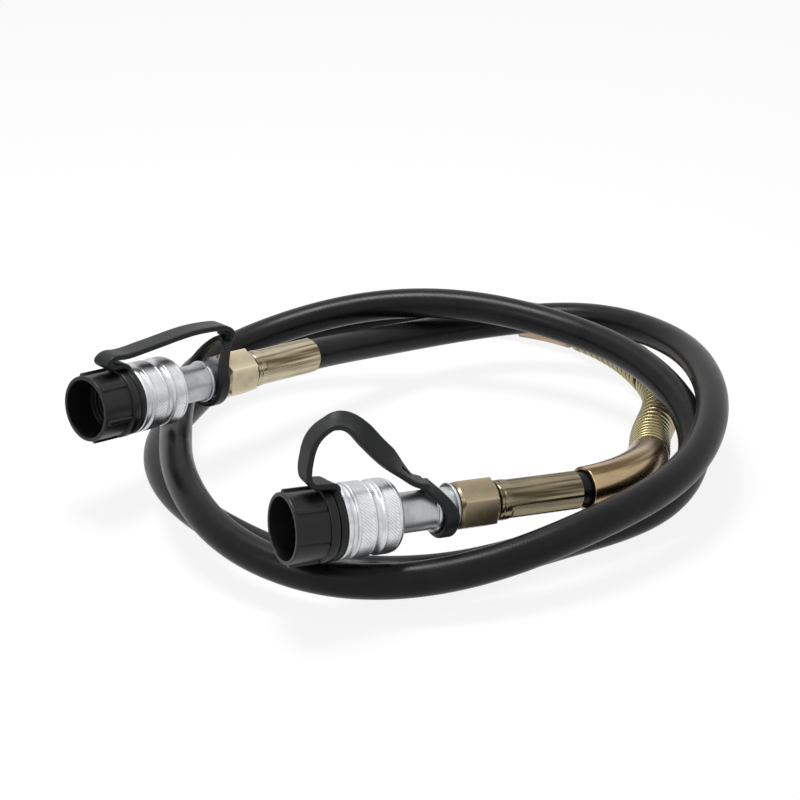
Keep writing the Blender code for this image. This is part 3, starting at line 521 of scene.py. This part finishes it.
class HOSE_OT_stage(Operator):
    """Lay the pale floor, set the soft lamps and put the camera at the photograph's angle"""
    bl_idname = "hose.stage"
    bl_label = "Studio stage"

    def execute(self, context):
        scene, studio, tints = context.scene, context.scene.hose_studio, context.scene.hose_finish
        scene.view_settings.view_transform = "Standard"
        bm = bmesh.new()
        bmesh.ops.create_grid(bm, x_segments=1, y_segments=1, size=FLOOR_HALF)
        mesh = bpy.data.meshes.new("floor")
        bm.to_mesh(mesh)
        bm.free()
        floor = bpy.data.objects.new("floor", mesh)
        scene.collection.objects.link(floor)
        paper = bpy.data.materials.new("studio_paper")
        paper.use_nodes = True
        tree = paper.node_tree
        tree.nodes.clear()
        lift = add(tree, "Math", {0: seen_ray(tree), 1: studio.lift}, operation="MULTIPLY")
        matt = add(tree, "BsdfDiffuse", {"Color": shade(tints.floor, 1.0)})
        glow = add(tree, "Emission", {"Color": (1.0, 1.0, 1.0, 1.0), "Strength": FLOOR_GLOW})
        mixed = add(tree, "MixShader", {0: lift.outputs[0], 1: matt.outputs[0], 2: glow.outputs[0]})
        add(tree, "OutputMaterial", {"Surface": mixed.outputs[0]})
        mesh.materials.append(paper)
        world = bpy.data.worlds.new("studio")
        world.use_nodes = True
        tree = world.node_tree
        tree.nodes.clear()
        level = add(tree, "MapRange", {"Value": seen_ray(tree), "To Min": studio.ambient, "To Max": 1.0})
        sky = add(tree, "Background", {"Color": (1.0, 1.0, 1.0, 1.0), "Strength": level.outputs[0]})
        add(tree, "OutputWorld", {"Surface": sky.outputs[0]})
        scene.world = world
        for name, power, size, place in (
            ("overhead_lamp", studio.overhead, 0.35, (-0.10, 0.12, 1.1)),
            ("side_lamp", studio.side, 0.4, (-0.8, -0.8, 0.8)),
        ):
            lamp = bpy.data.lights.new(name, "AREA")
            lamp.energy = power
            lamp.size = size
            obj = bpy.data.objects.new(name, lamp)
            obj.location = place
            obj.rotation_euler = (-Vector(place)).to_track_quat("-Z", "Y").to_euler()
            scene.collection.objects.link(obj)
        camera = bpy.data.objects.new("camera", bpy.data.cameras.new("camera"))
        camera.data.lens = studio.lens
        camera.data.sensor_width = 36.0
        camera.data.clip_start, camera.data.clip_end = 0.01, 50.0
        back = Vector((0.0, -math.cos(studio.elevation), math.sin(studio.elevation)))
        camera.location = Vector(studio.aim) + back * studio.distance
        camera.rotation_euler = (-back).to_track_quat("-Z", "Y").to_euler()
        scene.collection.objects.link(camera)
        scene.camera = camera
        return {"FINISHED"}


class HOSE_OT_hose(Operator):
    """Lay the rubber hose along its route"""
    bl_idname = "hose.hose"
    bl_label = "Rubber hose"

    def execute(self, context):
        size = context.scene.hose_cover
        line = Centreline(size.entry)
        radius = size.diameter / 2
        count = round((line.stop + size.entry) / size.step)
        stops = np.linspace(-size.entry, line.stop, count + 1)
        outline = [(stops[0], 0.0)] + [(s, radius) for s in stops] + [(stops[-1], 0.0)]
        bm = turned(outline, 40)
        wrap_uv(bm, radius)
        line.bend(bm)
        rubber = hose_rubber(context.scene.hose_finish.rubber)
        hose = publish("rubber_hose", bm, rubber, "hose_assembly", "hose_rubber", "hose", sharp=60.0)
        path = line.frames(stops)[0]
        return {"FINISHED"}


class HOSE_OT_fittings(Operator):
    """Turn and press the crimped ferrules and the hexagon fittings"""
    bl_idname = "hose.fittings"
    bl_label = "Crimped fittings"

    def execute(self, context):
        scene, fit, tints = context.scene, context.scene.hose_fitting, context.scene.hose_finish
        s = stations(scene)
        bore = scene.hose_cover.diameter / 2 + fit.gap
        outer = bore + fit.ferrule_wall
        waist = fit.waist / 2
        corner = fit.hex_flats / math.sqrt(3.0)
        # Hexagons: warm patches and fine turning lines on flat faces, pale gold on A and browner on B
        metal = {
            "a": plated_metal("champagne_zinc", tints.champagne, "#9f957d", 0.34, patch=6.0),
            "b": plated_metal("bronze_zinc", tints.bronze, "#786e58", 0.32, patch=6.0),
        }
        # Ferrules: brown streaks of painted reflection along the drawn sleeve, smoother and brighter than the
        # hexagons
        drawn = {
            "a": plated_metal("reflection_streaked_champagne_zinc", tints.champagne, "#c0b69c", 0.24, turning=0.03, relief=0.01,
                              reflection_streak="#63543f"),
            "b": plated_metal("reflection_streaked_bronze_zinc", tints.bronze, "#938a70", 0.24, turning=0.03, relief=0.01,
                              reflection_streak="#4a4333"),
        }
        slot = {"a": "champagne_steel", "b": "bronze_steel"}
        for end in ENDS:
            end_bead = fit.ferrule_length - 0.0013
            sleeve = turned([
                (0.0, bore, 0.0002), (0.0, outer, 0.0006), (0.0016, outer),
                (fit.crimp_length - 0.0012, outer), (fit.crimp_length, outer), (fit.crimp_length + 0.0014, outer),
                (end_bead - 0.0013, outer), (end_bead - 0.0009, outer - 0.0004), (end_bead - 0.0004, outer - 0.0004),
                (end_bead, outer, 0.0003), (fit.ferrule_length, outer - 0.0002, 0.0006),
                (fit.ferrule_length, waist + fit.gap), (s.lip, waist + fit.gap), (s.lip, bore),
            ], 96)
            wrap_uv(sleeve, outer)
            press_flats(sleeve, 8, outer - fit.crimp_depth, math.radians(30.0), 0.0, fit.crimp_length)
            publish("crimped_ferrule_" + end, sleeve, drawn[end], "hose_assembly", slot[end], "ferrule_" + end,
                    sharp=9.0, end=end)
            nose, back = fit.nose / 2, s.hex + 0.0015
            tail_start, tail, barb_start, barb = 0.0053, 0.0037, s.lip - 0.0041, 0.0070
            stem = turned([
                (tail_start, fit.oil_bore / 2), (tail_start, tail, 0.0003), (barb_start - 0.0001, tail),
                (barb_start, barb, 0.0002), (s.lip - fit.gap, barb, 0.0002), (s.lip - fit.gap, waist),
                (back, waist), (back, corner - 0.0019), (back + 0.0011, corner), (s.hex_stop - 0.0012, corner),
                (s.hex_stop, corner - 0.0021), (s.hex_stop, nose), (s.hex_stop + fit.nose_length, nose, 0.0005),
                (s.hex_stop + fit.nose_length, fit.oil_bore / 2),
            ], 96)
            wrap_uv(stem, corner)
            press_flats(stem, 6, fit.hex_flats / 2, 0.0, back, s.hex_stop)
            publish("hexagon_fitting_" + end, stem, metal[end], "hose_assembly", slot[end], "hose_stem_" + end,
                    sharp=14.0, end=end)
        return {"FINISHED"}


class HOSE_OT_couplers(Operator):
    """Turn the coupler bodies and the knurled collars"""
    bl_idname = "hose.couplers"
    bl_label = "Quick couplers"

    def execute(self, context):
        scene, fit, size = context.scene, context.scene.hose_fitting, context.scene.hose_coupler
        s = stations(scene)
        # Bodies: cool silver with a soft shine. Collars: paler and duller, so that the knurl catches the light
        zinc = plated_metal("bright_zinc", scene.hose_finish.zinc, "#a8abae", 0.38, patch=12.0, relief=0.02)
        frost = plated_metal("frosted_zinc", scene.hose_finish.frost, "#c6c8cb", 0.40, patch=5.0, relief=0.03)
        socket, neck, bead = fit.nose / 2 + fit.gap, size.neck / 2, size.bead / 2
        shoulder, spigot, oil = size.shoulder / 2, size.spigot / 2, fit.oil_bore / 2
        seat, seat_floor, valve, valve_floor = 0.0080, s.face - 0.0037, 0.0062, s.face - 0.0327
        for end in ENDS:
            body = turned([
                (s.shoulder, socket), (s.shoulder, shoulder - 0.0010), (s.shoulder + 0.0010, shoulder, 0.0004),
                (s.shoulder_stop, shoulder, 0.0003), (s.shoulder_stop, neck), (s.bead, neck),
                (s.bead, bead, 0.0006), (s.bead_stop, bead, 0.0009), (s.bead_stop, neck, 0.0005),
                (s.spigot, neck), (s.spigot, spigot, 0.0003), (s.face, spigot, 0.0008), (s.face, seat),
                (seat_floor, seat), (seat_floor, valve), (valve_floor, valve), (valve_floor, oil),
                (s.shoulder + fit.nose_length, oil), (s.shoulder + fit.nose_length, socket),
            ], 96)
            wrap_uv(body, neck)
            publish("coupler_body_shell_" + end, body, zinc, "hose_assembly", "zinc_steel", "coupler_body_" + end,
                    end=end)
            self.collar(scene, s, end, frost)
        return {"FINISHED"}

    def collar(self, scene, s, end, frost):
        """Turn one collar with two grooves and two bands of diamond knurl."""
        size, cap = scene.hose_coupler, scene.hose_cap
        outer, run = size.collar / 2, 0.0005
        pitch = math.pi * size.collar / (2 * size.knurl_count)
        front, root = s.collar_stop, outer - 0.0002
        bands = ((s.collar + 0.0044, s.collar + 0.0098), (s.collar + 0.0156, s.collar + 0.0224))
        outline = [(s.collar, size.neck / 2 + run, 0.0003), (s.collar, outer - 0.0038, 0.0010),
                   (s.collar + 0.0014, outer - 0.0012, 0.0012), (s.collar + 0.0034, outer - 0.0002, 0.0007),
                   (s.collar + 0.0037, outer - 0.0006), (s.collar + 0.0041, outer - 0.0006)]
        rows = []
        for first, last in bands:
            count = round((last - first) / pitch)
            rows += [first + (last - first) * k / count for k in range(count + 1)]
            outline += [(t, root) for t in rows[-count - 1:]]
            if first == bands[0][0]:
                outline += [(last + 0.0004, outer, 0.0002), (last + 0.0010, outer - 0.0002, 0.0004),
                            (last + 0.0018, outer - 0.0012, 0.0008), (last + 0.0042, outer - 0.0012, 0.0008),
                            (last + 0.0050, outer - 0.0002, 0.0004), (last + 0.0055, outer, 0.0002)]
        last = bands[1][1]
        outline += [
            (last + 0.0003, outer, 0.0002), (last + 0.0012, outer, 0.0003), (last + 0.0017, outer - 0.0012, 0.0005),
            (last + 0.0034, outer - 0.0012, 0.0005), (last + 0.0039, outer, 0.0004), (front, outer - 0.0002, 0.0006),
            (front, cap.plug / 2 + run, 0.0003), (s.face, cap.plug / 2 + run), (s.face, size.spigot / 2 + run),
            (s.collar + size.collar_lip, size.spigot / 2 + run), (s.collar + size.collar_lip, size.neck / 2 + run),
        ]
        bm = turned(outline, 2 * size.knurl_count)
        wrap_uv(bm, outer)
        step = math.pi / size.knurl_count
        for vert in bm.verts:
            t, y, z = vert.co
            radius = math.hypot(y, z)
            near = [k for k, row in enumerate(rows) if abs(row - t) < 1e-6]
            if near and abs(radius - root) < 1e-6:
                point = (near[0] + round((math.atan2(z, y) % (2 * math.pi)) / step)) % 2
                scale = (root + (size.knurl_depth * 0.6 if point else -size.knurl_depth * 0.4)) / radius
                vert.co = (t, y * scale, z * scale)
        publish("knurled_collar_" + end, bm, frost, "collar_" + end, "zinc_steel", "collar_" + end, sharp=24.0,
                end=end)


class HOSE_OT_caps(Operator):
    """Mould the dust caps with their grip ribs"""
    bl_idname = "hose.caps"
    bl_label = "Dust caps"

    def execute(self, context):
        scene, size = context.scene, context.scene.hose_cap
        s = stations(scene)
        plug, cup = size.plug / 2, size.cup / 2
        bore, floor = cup - size.wall, s.cup + size.floor
        step, step_bore, rib_phase = floor + 0.0018, 0.0105, math.radians(50.0)
        # Caps: semi-gloss black whose rims and ribs are a little paler, a painted highlight
        plastic = moulded_plastic("moulded_cap_plastic", scene.hose_finish.plastic, 0.32, 0.5, sheen=0.30)
        first, last = s.cup + size.flange_width + 0.0006, s.cup_stop - size.rib_inset
        rows = [first + (last - first) * k / 6 for k in range(6)] + [last - 0.0006, last - 0.0003, last]
        flange = size.flange / 2
        for end in ENDS:
            bm = turned([
                (s.plug + size.recess_depth, 0.0), (s.plug + size.recess_depth, size.recess / 2),
                (s.plug, size.recess / 2, 0.0003), (s.plug, plug, 0.0005), (s.cup, plug), (s.cup, flange, 0.0008),
                (s.cup + size.flange_width, flange, 0.0009), (s.cup + size.flange_width, cup, 0.0003),
                *[(t, cup) for t in rows],
                (s.cup_stop, cup, 0.0006), (s.cup_stop, bore, 0.0004), (step, bore, 0.0003),
                (step, step_bore, 0.0003), (floor, step_bore, 0.0003), (floor, 0.0),
            ], 288)
            wrap_uv(bm, cup)
            pitch = 2 * math.pi / size.ribs
            for vert in bm.verts:
                t, y, z = vert.co
                radius = math.hypot(y, z)
                if abs(radius - cup) < 1e-6 and rows[0] - 1e-6 <= t <= rows[-1] + 1e-6:
                    off = (math.atan2(z, y) - rib_phase + pitch / 2) % pitch - pitch / 2
                    side = min(1.0, max(0.0, (size.rib_width / 2 + 0.0002 - abs(off) * cup) / 0.0005))
                    ends = min(1.0, max(0.0, (rows[-1] - t) / 0.0006))
                    lift = size.rib_height * math.sin(side * math.pi / 2) * math.sin(ends * math.pi / 2)
                    vert.co = (t, y * (1 + lift / cup), z * (1 + lift / cup))
            publish("screw_cap_" + end, bm, plastic, "cap_" + end, "cap_plastic", "dust_cap_" + end, sharp=40.0,
                    end=end)
        return {"FINISHED"}


class HOSE_OT_straps(Operator):
    """Mould the straps that tie the caps to the couplers"""
    bl_idname = "hose.straps"
    bl_label = "Cap straps"

    def execute(self, context):
        scene, size = context.scene, context.scene.hose_strap
        s = stations(scene)
        # Straps: duller, softer black than the caps
        soft = moulded_plastic("soft_strap_plastic", scene.hose_finish.strap, 0.42, 0.6, sheen=0.22)
        eye_in = scene.hose_cap.plug / 2 + s.gap
        eye_out = eye_in + size.eye_wall
        loop_in = scene.hose_coupler.bead / 2 + s.gap
        loop_out = loop_in + size.loop_wall
        middle = (s.eye + s.eye_stop) / 2
        for end in ENDS:
            rise = STRAP_LOOP_RISE[end]
            parts = [turned([(s.eye, eye_in, 0.0003), (s.eye, eye_out, 0.0008), (s.eye_stop, eye_out, 0.0008),
                             (s.eye_stop, eye_in, 0.0003)], 96)]
            loop = turned([(s.loop, loop_in, 0.0004), (s.loop, loop_out, 0.0009), (s.loop_stop, loop_out, 0.0009),
                           (s.loop_stop, loop_in, 0.0004)], 96)
            lean = STRAP_LOOP_LEAN[end]
            for vert in loop.verts:
                t, y, z = vert.co
                up = max(0.0, z) / math.hypot(y, z)
                vert.co = (t + lean * up ** STRAP_LOOP_BEND[end], y, z + rise * up ** 3)
            parts.append(loop)
            route = [(middle, eye_out - size.eye_wall / 2)]
            route += [(middle + t * MM, u * MM) for t, u in STRAP_MM[end]]
            route += [((s.loop + s.loop_stop) / 2 + lean, loop_out + rise - size.loop_wall / 3)]
            parts.append(self.band(route, size, middle, rolled=end == "b"))
            mesh = bpy.data.meshes.new("strap_parts")
            whole = bmesh.new()
            for part in parts:
                part.to_mesh(mesh)
                part.free()
                whole.from_mesh(mesh)
            bpy.data.meshes.remove(mesh)
            wrap_uv(whole, eye_out)
            strap = publish("cap_strap_" + end, whole, soft, "strap_" + end, "strap_plastic", "strap_" + end,
                            sharp=50.0, end=end)
            fuse = strap.modifiers.new("fuse", "REMESH")
            fuse.mode, fuse.voxel_size, fuse.use_smooth_shade = "VOXEL", 0.0004, True
            soften = strap.modifiers.new("soften", "SMOOTH")
            soften.factor, soften.iterations = 0.5, 4
        return {"FINISHED"}

    def band(self, route, size, middle, rolled):
        """Draw a rounded strip along a line in the upright plane of the axis; strap B is rolled and slotted."""
        points = np.array(route)
        first, last = points[1] - points[0], points[-1] - points[-2]
        line = smooth_curve(points, first / np.linalg.norm(first), last / np.linalg.norm(last), 10)
        along = np.gradient(line, axis=0)
        along /= np.linalg.norm(along, axis=1)[:, None]
        left = np.linalg.norm(np.diff(line, axis=0), axis=1)[::-1].cumsum()[::-1]
        left = np.append(left, 0.0)
        bm = bmesh.new()
        column = bm.verts.layers.float.new("column")
        station = bm.verts.layers.int.new("station")
        ratio = size.slot_width / size.width
        verts = []
        for w, h in ((-1, -1), (-ratio, -1), (ratio, -1), (1, -1), (1, 1), (ratio, 1), (-ratio, 1), (-1, 1)):
            verts.append(bm.verts.new((0.0, w * size.width / 2, h * size.thickness / 2)))
            verts[-1][column] = w
        for pair in zip(verts, verts[1:] + verts[:1]):
            bm.edges.new(pair)
        bmesh.ops.bevel(bm, geom=[v for v in verts if abs(v[column]) == 1.0], offset=0.0007, offset_type="OFFSET",
                        affect="VERTICES", segments=3, profile=0.5, material=-1)
        ring, rim, place = bm.verts[:], bm.edges[:], None
        for k, ((t, u), (dt, du)) in enumerate(zip(line, along)):
            x, z = Vector((dt, 0.0, du)), Vector((-du, 0.0, dt))
            target = Matrix.Translation((t, 0.0, u)) @ Matrix((x, z.cross(x), z)).transposed().to_4x4()
            if rolled:
                roll = np.interp((t - middle) / MM, *STRAP_ROLL)
                target = target @ Matrix.Rotation(math.radians(roll), 4, "X")
            if place:
                grown = bmesh.ops.extrude_edge_only(bm, edges=rim)["geom"]
                ring = [part for part in grown if isinstance(part, bmesh.types.BMVert)]
                fresh = set(ring)
                rim = [part for part in grown
                       if isinstance(part, bmesh.types.BMEdge) and fresh.issuperset(part.verts)]
            bmesh.ops.transform(bm, matrix=target @ place.inverted() if place else target, verts=ring)
            for vert in ring:
                vert[station] = k
            place = target
        bmesh.ops.holes_fill(bm, edges=[e for e in bm.edges if e.is_boundary], sides=0)
        if rolled:
            inside = {k for k in range(len(line)) if size.slot_start < left[k] < size.slot_start + size.slot_length}
            bmesh.ops.delete(bm, context="FACES", geom=[
                f for f in bm.faces if len(f.verts) == 4
                and all(v[station] in inside and abs(v[column]) < ratio + 1e-4 for v in f.verts)])
            bmesh.ops.bridge_loops(bm, edges=[e for e in bm.edges if e.is_boundary])
        bmesh.ops.recalc_face_normals(bm, faces=bm.faces[:])
        return bm


class HOSE_OT_guard(Operator):
    """Wind the strip coil and bend the sleeves of the guard round the hose"""
    bl_idname = "hose.guard"
    bl_label = "Bend guard"

    def execute(self, context):
        scene, size = context.scene, context.scene.hose_guard
        line = Centreline(scene.hose_cover.entry)
        radius = scene.hose_cover.diameter / 2
        inner, outer = radius + size.fit, radius + size.fit + size.wall
        coil = size.start + size.near + size.end_gap
        far = coil + size.coil + size.end_gap
        # Sleeves: yellow with brown streaks of painted shade and reflection. Coil: greener, so that its turns stand
        # out from the sleeves
        gold = plated_metal("gold_zinc", scene.hose_finish.gold, "#a88f76", 0.25, patch=9.0, turning=0.02,
                            relief=0.008, reflection_streak="#65502f", reflection_streak_width=5.0)
        olive = plated_metal("olive_zinc", scene.hose_finish.olive, "#948260", 0.28, patch=5.0, turning=0.05)
        for name, node, start, stop in (
            ("near_sleeve", "guard_sleeve_near", size.start, size.start + size.near),
            ("far_sleeve", "guard_sleeve_far", far, far + size.far),
        ):
            count = round((stop - start) / SLEEVE_RING)
            stops = [start + (stop - start) * k / count for k in range(1, count)]
            tube = turned([(start, inner, 0.0003), (start, outer, 0.0006), *[(t, outer) for t in stops],
                           (stop, outer, 0.0006), (stop, inner, 0.0003), *[(t, inner) for t in stops[::-1]]], 64)
            wrap_uv(tube, outer)
            line.bend(tube)
            publish(name, tube, gold, "hose_assembly", "guard_steel", node)
        pitch = size.strip + size.strip_gap
        run = size.coil - size.strip - size.opening
        turns = math.floor(run / pitch * 10) / 10
        advance = run / turns
        section = bmesh.new()
        half, low, high = size.strip / 2, radius + scene.hose_fitting.gap * 1.6, outer
        verts = [section.verts.new((coil + half + t, r, 0.0))
                 for t, r in ((-half, low), (-half, high), (half, high), (half, low))]
        for pair in zip(verts, verts[1:] + verts[:1]):
            section.edges.new(pair)
        bmesh.ops.bevel(section, geom=verts[1:3], offset=0.0008, offset_type="OFFSET", affect="VERTICES",
                        segments=4, profile=0.5, material=-1)
        steps = round(turns * 40)
        bmesh.ops.spin(section, geom=section.verts[:] + section.edges[:], cent=(0, 0, 0), axis=(1, 0, 0),
                       dvec=(run / steps, 0, 0), angle=2 * math.pi * turns, steps=steps, use_merge=False)
        bmesh.ops.holes_fill(section, edges=[e for e in section.edges if e.is_boundary], sides=0)
        bmesh.ops.recalc_face_normals(section, faces=section.faces[:])
        wrap_uv(section, outer)
        for vert in section.verts:
            t, y, z = vert.co
            angle = math.atan2(z, y) / (2 * math.pi)
            turn = round((t - coil - half) / advance - angle) + angle
            part = min(1.0, max(0.0, turn - OPENING_PLACE * turns))
            vert.co.x = t + size.opening * part * part * (3 - 2 * part)
        line.bend(section)
        publish("strip_coil", section, olive, "hose_assembly", "guard_steel", "guard_spring")
        return {"FINISHED"}


class HOSE_OT_valves(Operator):
    """Give the gaskets, rings and valve pieces inside the couplers their finishes"""
    bl_idname = "hose.valves"
    bl_label = "Valves and seals"

    def execute(self, context):
        # Inside: dull black seals, yellow brass, grey turned steel and darker spring wire
        seal = moulded_plastic("nitrile_seal", linear("#19191a")[:3], 0.5, 0.4)
        brass = plated_metal("turned_brass", linear("#b8923f")[:3], "#a37c33", 0.3, straight=False)
        steel = plated_metal("turned_steel", linear("#b9bbbe")[:3], "#a7aab0", 0.3, straight=False)
        wire = plated_metal("spring_wire", linear("#8d9096")[:3], "#777b83", 0.28, straight=False)
        kinds = {"hose_end": seal, "cap_gasket": seal, "thrust_ring": brass, "valve_guide": brass,
                 "valve_seat": brass, "valve_poppet": steel, "valve_spring": wire}
        for kind, finish in kinds.items():
            for end in ENDS:
                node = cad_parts[kind + "_" + end]
                node.data.materials.clear()
                node.data.materials.append(finish)
        return {"FINISHED"}


class HOSE_PT_panel(Panel):
    """Steps that build the hose assembly"""
    bl_idname = "HOSE_PT_panel"
    bl_label = "Hydraulic hose"
    bl_space_type = "VIEW_3D"
    bl_region_type = "UI"
    bl_category = "Hose"

    def draw(self, context):
        for step in OPERATORS:
            self.layout.operator(step.bl_idname)
        for name, group in GROUPS.items():
            box = self.layout.box()
            for field in group.__annotations__:
                box.prop(getattr(context.scene, name), field)


OPERATORS = (HOSE_OT_stage, HOSE_OT_hose, HOSE_OT_fittings, HOSE_OT_couplers, HOSE_OT_caps, HOSE_OT_straps,
             HOSE_OT_guard, HOSE_OT_valves)


def register():
    for cls in (*GROUPS.values(), *OPERATORS, HOSE_PT_panel):
        bpy.utils.register_class(cls)
    for name, group in GROUPS.items():
        setattr(bpy.types.Scene, name, PointerProperty(type=group))


def unregister():
    for name in GROUPS:
        delattr(bpy.types.Scene, name)
    for cls in reversed((*GROUPS.values(), *OPERATORS, HOSE_PT_panel)):
        bpy.utils.unregister_class(cls)


def main():
    register()
    bpy.ops.hose.stage()
    bpy.ops.hose.hose()
    bpy.ops.hose.fittings()
    bpy.ops.hose.couplers()
    bpy.ops.hose.caps()
    bpy.ops.hose.straps()
    bpy.ops.hose.guard()
    bpy.ops.hose.valves()


if __name__ == "__main__":
    main()
